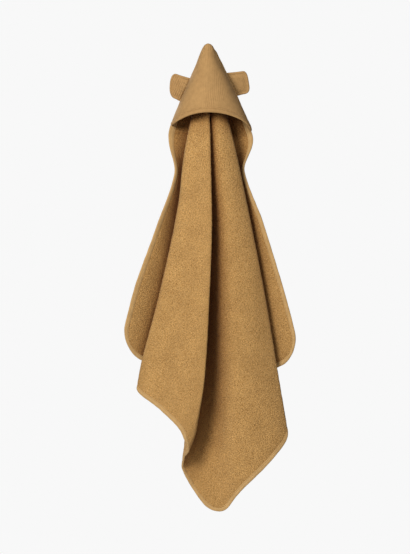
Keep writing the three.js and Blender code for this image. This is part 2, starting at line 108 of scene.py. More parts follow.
FLAT_ANGLES = np.array([fold[0] for fold in FOLDS], float)


def calm_slopes(xs, ys):
    """Slopes of a curve that never overshoots its points."""
    rise = np.diff(ys) / np.diff(xs)
    before = np.concatenate([rise[:1], rise])
    after = np.concatenate([rise, rise[-1:]])
    same = before * after > 0
    total = np.where(same, before + after, 1)
    return np.where(same, 2 * before * after / total, 0)


def blend_between(y0, y1, s0, s1, step, t):
    """The smooth cubic between two values with a slope at each."""
    u = 1 - t
    return y0 * u * u * (1 + 2 * t) + y1 * t * t * (3 - 2 * t) + step * t * u * (s0 * u - s1 * t)


def curve_at(xs, ys, slopes, x):
    i = np.clip(np.searchsorted(xs, x, side="right") - 1, 0, len(xs) - 2)
    step = xs[i + 1] - xs[i]
    t = np.clip((x - xs[i]) / step, 0, 1)
    return blend_between(ys[i], ys[i + 1], slopes[i], slopes[i + 1], step, t)


def hang_curves(column):
    curves = []
    for _, hang in FOLDS:
        xs = np.array([p[0] for p in hang], float)
        ys = np.array([p[column] for p in hang], float)
        curves.append((xs, ys, calm_slopes(xs, ys)))
    return curves


SIDE_CURVES = hang_curves(1)
DEPTH_CURVES = hang_curves(2)


def across_folds(values, angle):
    """Runs one even curve through the fold lines' values and reads it at each angle."""
    slopes = np.empty_like(values)
    gaps = FLAT_ANGLES[2:] - FLAT_ANGLES[:-2]
    slopes[1:-1] = (values[2:] - values[:-2]) / gaps[:, None]
    slopes[0] = (values[1] - values[0]) / (FLAT_ANGLES[1] - FLAT_ANGLES[0])
    slopes[-1] = (values[-1] - values[-2]) / (FLAT_ANGLES[-1] - FLAT_ANGLES[-2])
    i = np.clip(np.searchsorted(FLAT_ANGLES, angle, side="right") - 1, 0, len(FOLDS) - 2)
    step = FLAT_ANGLES[i + 1] - FLAT_ANGLES[i]
    t = np.clip((angle - FLAT_ANGLES[i]) / step, 0, 1)
    n = np.arange(len(angle))
    return blend_between(values[i, n], values[i + 1, n], slopes[i, n], slopes[i + 1, n], step, t)


def cut(along, angle):
    """Sideways and outward place of points at a distance and angle from the corner."""
    sides = np.array([along * np.sin(np.radians(curve_at(*c, along))) for c in SIDE_CURVES])
    depths = np.array([curve_at(*c, along) for c in DEPTH_CURVES])
    return across_folds(sides, angle), -across_folds(depths, angle)


# Heights follow from the length of the cloth along each line from the corner.
HEIGHT_STEP = 5.0
ANGLE_STEP = 0.5
LEAST_DROP = 0.5               # squared, so the cloth always falls a little
height_rows = np.arange(0, TOWEL_SIDE * math.sqrt(2) + 2 * HEIGHT_STEP, HEIGHT_STEP)
height_angles = np.arange(-45, 45 + ANGLE_STEP, ANGLE_STEP)
grid_along, grid_angle = np.meshgrid(height_rows, height_angles, indexing="ij")
grid_x, grid_y = cut(grid_along.ravel(), grid_angle.ravel())
run_x = np.diff(grid_x.reshape(grid_along.shape), axis=0)
run_y = np.diff(grid_y.reshape(grid_along.shape), axis=0)
drops = np.sqrt(np.maximum(HEIGHT_STEP ** 2 - run_x ** 2 - run_y ** 2, LEAST_DROP))
heights = CORNER_Z - np.vstack([np.zeros(len(height_angles)), np.cumsum(drops, axis=0)])


def smooth_ramp(x, low, high):
    t = np.clip((x - low) / (high - low), 0, 1)
    return t * t * (3 - 2 * t)


def height_at(along, angle):
    i = np.clip((along / HEIGHT_STEP).astype(int), 0, len(height_rows) - 2)
    j = np.clip(((angle + 45) / ANGLE_STEP).astype(int), 0, len(height_angles) - 2)
    fi = along / HEIGHT_STEP - i
    fj = (angle + 45) / ANGLE_STEP - j
    near = heights[i, j] * (1 - fj) + heights[i, j + 1] * fj
    far = heights[i + 1, j] * (1 - fj) + heights[i + 1, j + 1] * fj
    ease = LEFT_EASE * smooth_ramp(-angle, 28, 45) * smooth_ramp(along, 0, MOUTH_AT)
    return near * (1 - fi) + far * fi + ease


def polar(a, b):
    """A flat place a, b is millimetres along the left and the right leg from the corner."""
    angle = np.degrees(np.arctan2(b - a, a + b))
    return np.hypot(a, b), np.clip(angle, -45, 45)


def sway(along, angle):
    """Soft, shallow waves that a hanging cloth has between its folds."""
    grown = smooth_ramp(along, 250, 700)
    slow = np.sin(np.radians(angle * 21 + 40)) * np.sin(along / 190 + 0.6)
    cross = np.sin(along / 61 + np.radians(angle * 9)) * np.sin(np.radians(angle * 13 - 20))
    return grown * (2.1 * slow + 0.8 * cross)


def terry_at(a, b):
    """Where the middle of the hanging cloth is, for a flat place on it."""
    a, b = np.broadcast_arrays(np.asarray(a, float), np.asarray(b, float))
    shape = a.shape
    along, angle = polar(a.ravel(), b.ravel())
    x, y = cut(along, angle)
    y = y + sway(along, angle)
    points = np.stack([x, PEG_REACH + y, height_at(along, angle)], axis=-1)
    return points.reshape(shape + (3,))


def unit(v):
    return v / np.linalg.norm(v, axis=-1, keepdims=True)


def facing(surface, a, b):
    """The way each place of a sheet faces, towards the room."""
    h = 0.6
    along_a = surface(a + h, b) - surface(a - h, b)
    along_b = surface(a, b + h) - surface(a, b - h)
    return unit(np.cross(along_a, along_b))


def new_object(name, points, faces, uvs=None):
    """Makes a mesh object from points in millimetres, with a flat-cloth UV map in metres."""
    mesh = bpy.data.meshes.new(name)
    mesh.from_pydata((points * MM).tolist(), [], faces)
    if uvs is not None:
        layer = mesh.uv_layers.new(name="cloth")
        corners = np.empty(len(mesh.loops), dtype=np.int32)
        mesh.loops.foreach_get("vertex_index", corners)
        layer.data.foreach_set("uv", (uvs[corners] * MM).ravel())
    mesh.polygons.foreach_set("use_smooth", [True] * len(mesh.polygons))
    mesh.update()
    piece = bpy.data.objects.new(name, mesh)
    bpy.context.scene.collection.objects.link(piece)
    return piece


def quads(rows, columns, offset=0, flip=False):
    i, j = np.meshgrid(np.arange(rows - 1), np.arange(columns - 1), indexing="ij")
    corner = (offset + i * columns + j).ravel()
    loop = [corner, corner + columns, corner + columns + 1, corner + 1]
    return np.stack(loop[::-1] if flip else loop, axis=1)


def closed_sheet(name, front, back, flat):
    """The closed skin between two grids of points that face each other."""
    rows, columns = front.shape[:2]
    count = rows * columns
    grid = np.arange(count).reshape(rows, columns)
    rim = np.concatenate([grid[:, 0], grid[-1, 1:], grid[-2::-1, -1], grid[0, -2:0:-1]])
    after = np.roll(rim, -1)
    edge = np.stack([rim, rim + count, after + count, after], axis=1)
    faces = np.concatenate([quads(rows, columns), quads(rows, columns, count, True), edge])
    points = np.concatenate([front.reshape(-1, 3), back.reshape(-1, 3)])
    uvs = np.concatenate([flat.reshape(-1, 2)] * 2)
    return new_object(name, points, faces.tolist(), uvs)


def rounded_square(a, b, inset):
    """Moves the places of a square grid so that its four corners become round."""
    a, b = a.copy(), b.copy()
    for side_a in (0, 1):
        for side_b in (0, 1):
            at_hood = side_a == 0 and side_b == 0
            radius = HOOD_TIP_RADIUS if at_hood else CORNER_RADIUS
            core_a = TOWEL_SIDE - radius if side_a else radius
            core_b = TOWEL_SIDE - radius if side_b else radius
            sign_a, sign_b = 2 * side_a - 1, 2 * side_b - 1
            u = (a - core_a) * sign_a / (radius - inset)
            v = (b - core_b) * sign_b / (radius - inset)
            here = (u > 0) & (v > 0)
            round_u = u * np.sqrt(np.maximum(1 - v * v / 2, 0))
            round_v = v * np.sqrt(np.maximum(1 - u * u / 2, 0))
            a[here] = (core_a + sign_a * round_u * (radius - inset))[here]
            b[here] = (core_b + sign_b * round_v * (radius - inset))[here]
    return a, b


def noise(shape, seed, spread=0):
    """Repeatable random values from -1 to 1, made softer by averaging neighbours."""
    values = np.random.default_rng(seed).uniform(-1, 1, shape)
    for _ in range(spread):
        for axis in range(values.ndim):
            near = np.roll(values, 1, axis) + np.roll(values, -1, axis)
            values = 0.5 * values + 0.25 * near
    return values / max(np.abs(values).max(), 1e-9)


TERRY_EDGE = 1.2               # the terry stops this far inside the fold of its binding
steps = int(round((TOWEL_SIDE - 2 * TERRY_EDGE) / TERRY_MESH))
line = np.linspace(TERRY_EDGE, TOWEL_SIDE - TERRY_EDGE, steps + 1)
flat_a, flat_b = np.meshgrid(line, line, indexing="ij")
flat_a, flat_b = rounded_square(flat_a, flat_b, TERRY_EDGE)
terry_middle = terry_at(flat_a, flat_b)
terry_normal = facing(terry_at, flat_a, flat_b)
# Under the binding the loops are pressed flat, and just inside it they stand up again.
from_edge = np.minimum.reduce([flat_a, flat_b, TOWEL_SIDE - flat_a, TOWEL_SIDE - flat_b])
loose = smooth_ramp(from_edge, TAPE_HOLD, LOOPS_FREE)
loft = TERRY_THICK / 2 - PRESSED_BY * (1 - loose) + FLUFFED_BY * loose
front_pile = loft + PILE * loose * noise(flat_a.shape, 3)
back_pile = loft + PILE * loose * noise(flat_a.shape, 4)
terry_panel = closed_sheet(
    "terry_cloth",
    terry_middle + terry_normal * front_pile[..., None],
    terry_middle - terry_normal * back_pile[..., None],
    np.stack([flat_a, flat_b], axis=-1),
)


def new_material(name, color, roughness, sheen=0.0, sheen_tint=(1, 1, 1)):
    material = bpy.data.materials.new(name)
    material.use_nodes = True
    shader = material.node_tree.nodes["Principled BSDF"]
    shader.inputs["Base Color"].default_value = (*color, 1)
    shader.inputs["Roughness"].default_value = roughness
    shader.inputs["Sheen Weight"].default_value = sheen
    shader.inputs["Sheen Roughness"].default_value = 0.45
    shader.inputs["Sheen Tint"].default_value = (*sheen_tint, 1)
    shader.inputs["Specular IOR Level"].default_value = 0.25
    return material, material.node_tree, shader


def node(tree, kind, inputs=(), **settings):
    """Adds a node; an input is either another node's output or a plain value."""
    made = tree.nodes.new(kind)
    for key, value in settings.items():
        setattr(made, key, value)
    for key, value in inputs:
        if isinstance(value, bpy.types.NodeSocket):
            tree.links.new(value, made.inputs[key])
        else:
            made.inputs[key].default_value = value
    return made


def cloth_coordinates(tree, scale, turn=0.0):
    """The piece's own flat-cloth UV map, in metres, scaled so that 1 is one repeat."""
    uv = node(tree, "ShaderNodeUVMap", uv_map="cloth")
    return node(tree, "ShaderNodeMapping", [
        ("Vector", uv.outputs[0]), ("Rotation", (0, 0, turn)), ("Scale", scale)]).outputs[0]


def color_ramp(tree, factor, stops):
    ramp = node(tree, "ShaderNodeValToRGB", [("Fac", factor)])
    elements = ramp.color_ramp.elements
    while len(elements) < len(stops):
        elements.new(0.5)
    for element, (place, color) in zip(elements, stops):
        element.position = place
        element.color = (*color, 1)
    return ramp.outputs[0]


def mixed(tree, factor, first, second, mode="MIX"):
    """Blends two colours; a colour mix node has its sockets at 0, 6 and 7."""
    mix = node(tree, "ShaderNodeMix", data_type="RGBA", blend_type=mode)
    for key, value in ((0, factor), (6, first), (7, second)):
        if isinstance(value, bpy.types.NodeSocket):
            tree.links.new(value, mix.inputs[key])
        else:
            mix.inputs[key].default_value = value
    return mix.outputs[2]


def maths(tree, operation, first, second=0.0):
    made = node(tree, "ShaderNodeMath", [(0, first), (1, second)], operation=operation)
    return made.outputs[0]


def bump(tree, height, strength, distance, under=None):
    inputs = [("Height", height), ("Strength", strength), ("Distance", distance)]
    if under is not None:
        inputs.append(("Normal", under))
    return node(tree, "ShaderNodeBump", inputs).outputs[0]


PAINTED_SHADE_REACH = 0.085              # metres: how far around the painted fold shade looks for nearby cloth


def with_painted_fold_shade(tree, tone):
    """Painted shade: the cotton's colour turns richer and darker down in a fold, wherever other
    cloth is near, for the shade and bounced light there.
    """
    open_sky = node(tree, "ShaderNodeAmbientOcclusion", [("Distance", PAINTED_SHADE_REACH)],
                    samples=6)
    # Painted shade: dark red-brown where cloth is close all round, none out in the open.
    painted_fold_shade = color_ramp(tree, open_sky.outputs["AO"], [
        (0.30, (0.24, 0.11, 0.03)), (0.60, (0.66, 0.57, 0.46)), (0.90, (1.0, 1.0, 1.0))])
    return mixed(tree, 1.0, tone, painted_fold_shade, "MULTIPLY")


# The dye is OCHRE; the paler and darker ochres are a painted highlight on the loops' tips and
# painted shade between them.
OCHRE = (0.49, 0.264, 0.082)
OCHRE_GAP_SHADE = (0.25, 0.108, 0.022)
OCHRE_TIP_HIGHLIGHT = (0.68, 0.402, 0.150)


def terry_material():
    """Cotton loops with painted shade between them and a painted highlight on their tips, and a
    slightly uneven dye.
    """
    material, tree, shader = new_material("terry_loops", OCHRE, 0.95, 0.12, (1.0, 0.86, 0.62))
    metres = cloth_coordinates(tree, (1, 1, 1))
    loops = node(tree, "ShaderNodeTexVoronoi", [
        ("Vector", metres), ("Scale", 620.0), ("Randomness", 0.9)], feature="SMOOTH_F1")
    tufts = node(tree, "ShaderNodeTexNoise", [
        ("Vector", metres), ("Scale", 330.0), ("Detail", 4.0), ("Roughness", 0.75)])
    patches = node(tree, "ShaderNodeTexNoise", [
        ("Vector", metres), ("Scale", 22.0), ("Detail", 3.0), ("Roughness", 0.6)])
    # Painted highlight on each loop's raised tip, painted shade in the dips between loops.
    loop_shade_and_highlight = color_ramp(tree, loops.outputs["Distance"], [
        (0.10, OCHRE_TIP_HIGHLIGHT), (0.55, OCHRE), (0.95, OCHRE_GAP_SHADE)])
    tuft_tone = color_ramp(tree, tufts.outputs["Fac"], [
        (0.33, (0.58, 0.54, 0.48)), (0.47, (0.95, 0.95, 0.95)), (0.64, (1.45, 1.44, 1.38))])
    patch_tone = color_ramp(tree, patches.outputs["Fac"], [
        (0.32, (0.90, 0.885, 0.86)), (0.66, (1.06, 1.06, 1.05))])
    tone = mixed(tree, 0.8, loop_shade_and_highlight, tuft_tone, "MULTIPLY")
    tone = mixed(tree, 0.9, tone, patch_tone, "MULTIPLY")
    # Painted shade darkens and reddens the colour down in folds and gaps.
    tree.links.new(with_painted_fold_shade(tree, tone), shader.inputs["Base Color"])
    low = bump(tree, tufts.outputs["Fac"], 0.9, 0.0035)
    height = maths(tree, "SUBTRACT", 1.0, loops.outputs["Distance"])
    tree.links.new(bump(tree, height, 0.6, 0.0012, low), shader.inputs["Normal"])
    return material


terry_cloth_material = terry_material()
terry_panel.data.materials.append(terry_cloth_material)
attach(terry_panel, "towel")
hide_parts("terry_panel")

# ------------------------------------------------------------------------------------------
# Edge binding. A smooth cotton tape folded over the terry's edge all round, with puckers
# where the thread draws it in. It is one folded profile swept along the towel's outline.
# ------------------------------------------------------------------------------------------
BINDING_WIDTH = 11
BINDING_RISE = 2.25            # from the middle of the cloth to the outside of a flap
TAPE_THICK = 0.5
BINDING_MESH = 4.0
BINDING_PUCKER = 0.13
JOIN_AT = 676.25               # along the far left hem, from the left corner


def rim_arc(center_a, center_b, radius, start, end):
    count = max(int(radius * math.radians(abs(end - start)) / BINDING_MESH), 6)
    turn = np.radians(np.linspace(start, end, count + 1))
    out = np.stack([np.cos(turn), np.sin(turn)], axis=1)
    return np.array([center_a, center_b]) + radius * out, -out


def rim_line(start, end, inward):
    length = math.dist(start, end)
    share = np.linspace(0, 1, max(int(length / BINDING_MESH), 1) + 1)[1:-1, None]
    places = np.array(start) * (1 - share) + np.array(end) * share
    return places, np.tile(np.array(inward, float), (len(places), 1))


def towel_rim():
    """Places on the towel's outline with the inward direction, once round from the lap."""
    near, far, tip, side = CORNER_RADIUS, TOWEL_SIDE - CORNER_RADIUS, HOOD_TIP_RADIUS, TOWEL_SIDE
    parts = [
        rim_line((side, JOIN_AT + 2), (side, far), (-1, 0)),
        rim_arc(far, far, near, 0, 90),
        rim_line((far, side), (near, side), (0, -1)),
        rim_arc(near, far, near, 90, 180),
        rim_line((0, far), (0, tip), (1, 0)),
        rim_arc(tip, tip, tip, 180, 270),
        rim_line((tip, 0), (far, 0), (0, 1)),
        rim_arc(far, near, near, -90, 0),
        rim_line((side, near), (side, JOIN_AT - 2), (-1, 0)),
    ]
    return np.concatenate([p[0] for p in parts]), np.concatenate([p[1] for p in parts])


def folded_profile(width, rise, thick):
    """Across a folded tape: inset from the edge and height, round the outside and back."""
    flap = [(width, rise - 1.15), (width - 0.5, rise - 0.75), (width - 2.4, rise - 0.6),
            (width * 0.5, rise), (2.6, rise + 0.02), (1.2, rise - 0.35), (0.35, rise * 0.52)]
    outside = flap + [(0.0, 0.0)] + [(w, -h) for w, h in flap[::-1]]
    inside = [(w + thick * (1 - w / width), h * (1 - thick / rise)) for w, h in outside]
    return np.array(outside + inside[::-1])


def swept(name, places, inward, profile, pucker=0.0, seed=5):
    """Sweeps a closed profile along the towel's rim, following the cloth."""
    count, sides = len(places), len(profile)
    wave = noise((count,), seed, 2)
    lift = profile[None, :, 1] * (1 + pucker * wave[:, None])
    inset = profile[None, :, 0] + pucker * 3 * noise((count,), seed + 1, 2)[:, None]
    a = places[:, None, 0] + inward[:, None, 0] * inset
    b = places[:, None, 1] + inward[:, None, 1] * inset
    points = terry_at(a, b) + facing(terry_at, a, b) * lift[..., None]
    ring = np.arange(sides)
    start = np.arange(count - 1)[:, None] * sides
    here, after = start + ring, start + np.roll(ring, -1)
    faces = np.stack([here, here + sides, after + sides, after], axis=-1).reshape(-1, 4)
    ends = [ring.tolist(), ((count - 1) * sides + ring[::-1]).tolist()]
    half = sides // 2
    caps = []
    for end in ends:
        for k in range(half - 1):
            caps.append([end[k], end[k + 1], end[sides - 2 - k], end[sides - 1 - k]])
    distance = np.concatenate([[0], np.cumsum(np.linalg.norm(np.diff(places, axis=0), axis=1))])
    uv_u = np.repeat(distance[:, None], sides, axis=1)
    uv_v = np.tile(np.linspace(0, 2 * BINDING_WIDTH, sides), (count, 1))
    uvs = np.stack([uv_u, uv_v], axis=-1).reshape(-1, 2)
    faces = np.concatenate([faces[:, ::-1], np.array(caps)])
    return new_object(name, points.reshape(-1, 3), faces.tolist(), uvs)


def recalculated(piece):
    """Turns every face of a closed piece outwards."""
    bpy.ops.object.select_all(action="DESELECT")
    piece.select_set(True)
    bpy.context.view_layer.objects.active = piece
    bpy.ops.object.mode_set(mode="EDIT")
    bpy.ops.mesh.select_all(action="SELECT")
    bpy.ops.mesh.normals_make_consistent(inside=False)
    bpy.ops.object.mode_set(mode="OBJECT")
    return piece


rim_places, rim_inward = towel_rim()
tape_profile = folded_profile(BINDING_WIDTH, BINDING_RISE, TAPE_THICK)
binding = recalculated(swept("edge_tape", rim_places, rim_inward, tape_profile, BINDING_PUCKER))


def tape_material(name, color, shade):
    """A plain woven cotton tape: fine crossed threads and a faint lengthwise unevenness."""
    material, tree, shader = new_material(name, color, 0.8, 0.25, (1.0, 0.88, 0.68))
    metres = cloth_coordinates(tree, (1, 1, 1))
    warp = node(tree, "ShaderNodeTexWave", [
        ("Vector", metres), ("Scale", 220.0), ("Distortion", 0.6)], bands_direction="Y")
    weft = node(tree, "ShaderNodeTexWave", [
        ("Vector", metres), ("Scale", 260.0), ("Distortion", 0.6)], bands_direction="X")
    uneven = node(tree, "ShaderNodeTexNoise", [
        ("Vector", metres), ("Scale", 60.0), ("Detail", 3.0)])
    weave = maths(tree, "MULTIPLY", warp.outputs["Fac"], weft.outputs["Fac"])
    tone = mixed(tree, weave, (*shade, 1), (*color, 1))
    dyed = color_ramp(tree, uneven.outputs["Fac"], [
        (0.3, (0.90, 0.89, 0.87)), (0.7, (1.06, 1.06, 1.05))])
    tone = mixed(tree, 0.9, tone, dyed, "MULTIPLY")
    tree.links.new(tone, shader.inputs["Base Color"])
    puckers = bump(tree, uneven.outputs["Fac"], 0.35, 0.0012)
    tree.links.new(bump(tree, weave, 0.4, 0.0004, puckers), shader.inputs["Normal"])
    return material


tape_cloth_material = tape_material("cotton_tape", (0.67, 0.425, 0.178), (0.50, 0.295, 0.110))
binding.data.materials.append(tape_cloth_material)
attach(binding, "towel")
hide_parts("edge_binding")

# ------------------------------------------------------------------------------------------
# Binding join. The tape's two ends lie one over the other for a short way along the far left
# hem, so the fold is a little thicker and wider there.
# ------------------------------------------------------------------------------------------
JOIN_LENGTH = 14
JOIN_RINGS = 8
LAP_WIDER = 0.4
LAP_THICKER = 0.55
LAP_PUCKER = 0.03
LAP_SEED = 15

lap_along = np.linspace(JOIN_AT - JOIN_LENGTH / 2, JOIN_AT + JOIN_LENGTH / 2, JOIN_RINGS)
lap_places = np.stack([np.full(JOIN_RINGS, float(TOWEL_SIDE)), lap_along], axis=1)
lap_inward = np.tile(np.array([-1.0, 0.0]), (JOIN_RINGS, 1))
lap_profile = folded_profile(BINDING_WIDTH + LAP_WIDER, BINDING_RISE + LAP_THICKER, TAPE_THICK)
binding_lap = recalculated(swept("tape_lap", lap_places, lap_inward, lap_profile,
                                 LAP_PUCKER, LAP_SEED))
binding_lap.data.materials.append(tape_cloth_material)
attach(binding_lap, "towel")
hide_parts("binding_join")

# ------------------------------------------------------------------------------------------
# Binding stitches. A row of lock stitches in matt cotton thread, near the inner edge of the
# tape on each face of the towel. Every stitch is its own short sunken length of thread.
# ------------------------------------------------------------------------------------------
STITCH_INSET = BINDING_WIDTH - 2.4
STITCH_SUNK = 0.5              # below the outside of the tape
STITCH_LENGTH = 2.6
STITCH_GAP = 0.9
THREAD_RADIUS = 0.22
THREAD_SIDES = 5


def make_thread_material():
    """Matt sewing thread, twisted, a little darker than the tape."""
    material, tree, shader = new_material("sewing_thread", (0.50, 0.300, 0.110), 0.7, 0.2)
    place = node(tree, "ShaderNodeTexCoord").outputs["Object"]
    twist = node(tree, "ShaderNodeTexWave", [
        ("Vector", place), ("Scale", 900.0), ("Distortion", 1.5)], bands_direction="DIAGONAL")
    tone = mixed(tree, twist.outputs["Fac"], (0.34, 0.19, 0.06, 1), (0.54, 0.34, 0.14, 1))
    tree.links.new(tone, shader.inputs["Base Color"])
    tree.links.new(bump(tree, twist.outputs["Fac"], 0.4, 0.0002), shader.inputs["Normal"])
    return material


thread_material = make_thread_material()


def stitch_row(name, points, normals, body):
    """A line of lock stitches: short sunken threads laid along a path on the cloth."""
    steps = np.concatenate([[0], np.cumsum(np.linalg.norm(np.diff(points, axis=0), axis=1))])
    starts = np.arange(0.5, steps[-1] - STITCH_LENGTH, STITCH_LENGTH + STITCH_GAP)
    share = np.array([0.0, 0.12, 0.5, 0.88, 1.0])
    sink = np.array([-0.35, 0.12, 0.26, 0.12, -0.35])
    fat = np.array([0.35, 0.9, 1.0, 0.9, 0.35])
    at = starts[:, None] + share[None, :] * STITCH_LENGTH
    center = np.stack([np.interp(at, steps, points[:, k]) for k in range(3)], axis=-1)
    normal = unit(np.stack([np.interp(at, steps, normals[:, k]) for k in range(3)], axis=-1))
    ahead = unit(np.gradient(center, axis=1))
    side = unit(np.cross(ahead, normal))
    center = center + normal * sink[None, :, None]
    turn = np.radians(np.arange(0, 360, 360 / THREAD_SIDES))
    ring = (np.cos(turn)[None, None, :, None] * side[:, :, None, :]
            + np.sin(turn)[None, None, :, None] * normal[:, :, None, :])
    threads = center[:, :, None, :] + ring * (THREAD_RADIUS * fat)[None, :, None, None]
    rings, around = len(share), np.arange(THREAD_SIDES)
    sleeves = []
    for start in range(0, (rings - 1) * THREAD_SIDES, THREAD_SIDES):
        here, after = start + around, start + np.roll(around, -1)
        sleeves.append(np.stack([here, after, after + THREAD_SIDES, here + THREAD_SIDES], axis=1))
    first = np.arange(len(starts)) * rings * THREAD_SIDES
    faces = (first[:, None, None] + np.concatenate(sleeves)).reshape(-1, 4).tolist()
    for start in first:
        faces.append((start + around[::-1]).tolist())
        faces.append((start + (rings - 1) * THREAD_SIDES + around).tolist())
    piece = recalculated(new_object(name, threads.reshape(-1, 3), faces))
    piece.data.materials.append(thread_material)
    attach(piece, body)
    return piece


sewn = rim_places + rim_inward * STITCH_INSET
sewn_middle = terry_at(sewn[:, 0], sewn[:, 1])
sewn_facing = facing(terry_at, sewn[:, 0], sewn[:, 1])
binding_stitches = [
    stitch_row("tape_stitches_" + name,
               sewn_middle + side * sewn_facing * (BINDING_RISE - STITCH_SUNK),
               side * sewn_facing, "towel")
    for name, side in (("front", 1), ("back", -1))
]

# ------------------------------------------------------------------------------------------
# Hood. A triangle of crinkled cotton double gauze, sewn to the towel's corner along both
# legs. It stands open as a blunt half cone with its mouth downwards, and fine ribs run down it.
# ------------------------------------------------------------------------------------------
TIP_DEPTH = FOLDS[0][1][0][2]
EDGE_DEPTH = FOLDS[0][1][1][2]  # the bound edge at the mouth, out from the wall
HOOD_STAND = 5                 # the hood's edge lies this far in front of the bound edge
HOOD_LEFT_HALF = 88.6          # half width of the mouth, left and right
HOOD_RIGHT_HALF = 104.4
HOOD_WRAP = 108                # degrees round from the front to each seam
HOOD_LEAN = 0.1667             # how far the front leans out as it falls
LEFT_DROP = 201                # from the corner down to each end of the mouth
RIGHT_DROP = 214
SIDE_TURN = 2.5                # how late the mouth turns up towards its ends
HOOD_SWELL = 0.1               # the cloth bellies out above the mouth
TIP_PINCH = 0.18               # a soft dent below the tip, on the left
TIP_TUCK = 0.3                 # and on the right the hood lies inside the bound edge
GAUZE_THICK = 1.2
HEM_WIDTH = 13
HEM_LAP = 1.5                  # the gauze runs this far under the hem band
HEM_DOWN = HOOD_LEG / math.sqrt(2)
HEM_TOP = HEM_DOWN - HEM_WIDTH

hood_front = TIP_DEPTH + HOOD_STAND + HOOD_LEAN * MOUTH_AT
hood_edge = EDGE_DEPTH + HOOD_STAND
hood_belly = (hood_front - hood_edge) / (1 - math.cos(math.radians(HOOD_WRAP)))


def hood_at(a, b):
    """Where the middle of the hood's gauze is, for a flat place on its triangle."""
    along, angle = polar(a, b)
    turn = np.radians(angle / 45 * HOOD_WRAP)
    reach = along / MOUTH_AT
    swell = HOOD_SWELL * np.exp(-((reach - 0.75) / 0.22) ** 2)
    swell = swell - TIP_PINCH * np.exp(-((reach - 0.33) / 0.07) ** 2) * (angle < 0)
    swell = swell - TIP_TUCK * np.exp(-((reach - 0.22) / 0.11) ** 2) * (angle > 0)
    half = np.where(angle < 0, HOOD_LEFT_HALF, HOOD_RIGHT_HALF) * (
        1 + swell * (1 - (angle / 45) ** 4))
    side_drop = np.where(angle < 0, LEFT_DROP, RIGHT_DROP)
    front_drop = MOUTH_AT * math.sqrt(1 - HOOD_LEAN ** 2)
    to_side = (1 - np.cos(turn)) / (1 - math.cos(math.radians(HOOD_WRAP)))
    depth = hood_front - hood_belly * (1 - np.cos(turn))
    return np.stack([
        reach * half * np.sin(turn),
        PEG_REACH - (TIP_DEPTH + HOOD_STAND) * (1 - reach) - depth * reach,
        CORNER_Z - reach * (front_drop + (side_drop - front_drop) * to_side ** SIDE_TURN),
    ], axis=-1)


def hood_grid(inset, top, bottom, across, rows):
    """Flat places on the hood between two distances down its centre line."""
    share = np.linspace(0, 1, across + 1)
    end_a = (HOOD_LEG - inset) * (1 - share) + inset * share
    end_b = inset * (1 - share) + (HOOD_LEG - inset) * share
    _, angle = polar(end_a, end_b)
    turn = np.radians(270 - 90 * (angle - angle[0]) / (angle[-1] - angle[0]))
    start_a = HOOD_TIP_RADIUS + (HOOD_TIP_RADIUS - inset) * np.cos(turn)
    start_b = HOOD_TIP_RADIUS + (HOOD_TIP_RADIUS - inset) * np.sin(turn)
    start_down = (start_a + start_b) / math.sqrt(2)
    down = np.maximum(top, start_down)[None, :]
    down = down + (bottom - down) * np.linspace(0, 1, rows + 1)[:, None]
    t = (down - start_down) / (HEM_DOWN - start_down)
    return start_a * (1 - t) + end_a * t, start_b * (1 - t) + end_b * t


def crinkle(a, b):
    """The gauze's crinkle: narrow uneven ribs that run down the hood, and slower puckers."""
    across = (b - a) / math.sqrt(2)
    down = (a + b) / math.sqrt(2)
    wander = 0.9 * np.sin(down / 17 + across / 31) + 0.5 * np.sin(down / 7.3 + across / 13)
    ribs = np.sin((across + wander) * 2 * np.pi / 4.6)
    finer = np.sin((across + 0.6 * wander) * 2 * np.pi / 2.7 + 0.8)
    strength = 0.55 + 0.45 * np.sin(across / 11 + 1.3) * np.sin(down / 23 + 0.4)
    middle = 0.45 + 0.55 * np.exp(-(across / 55) ** 2) * smooth_ramp(down, 20, 60)
    slow = np.sin(across / 9.5 + down / 40) * np.sin(down / 19 + 1.1)
    return (0.42 * ribs + 0.16 * finer) * strength * middle + 0.35 * slow


def relief(surface, a, b, middle, high, low):
    """Front and back grids of a sheet of changing height about an offset middle."""
    points = surface(a, b)
    normal = facing(surface, a, b)
    front = points + normal * (middle + high)[..., None]
    back = points + normal * (middle - low)[..., None]
    return front, back


hood_a, hood_b = hood_grid(2, 0, HEM_TOP + HEM_LAP, 420, 62)
rough = crinkle(hood_a, hood_b)
skin = np.full(hood_a.shape, GAUZE_THICK / 2)
front, back = relief(hood_at, hood_a, hood_b, rough, skin, skin)
hood_panel = closed_sheet("hood_gauze", front, back, np.stack([hood_a, hood_b], axis=-1))


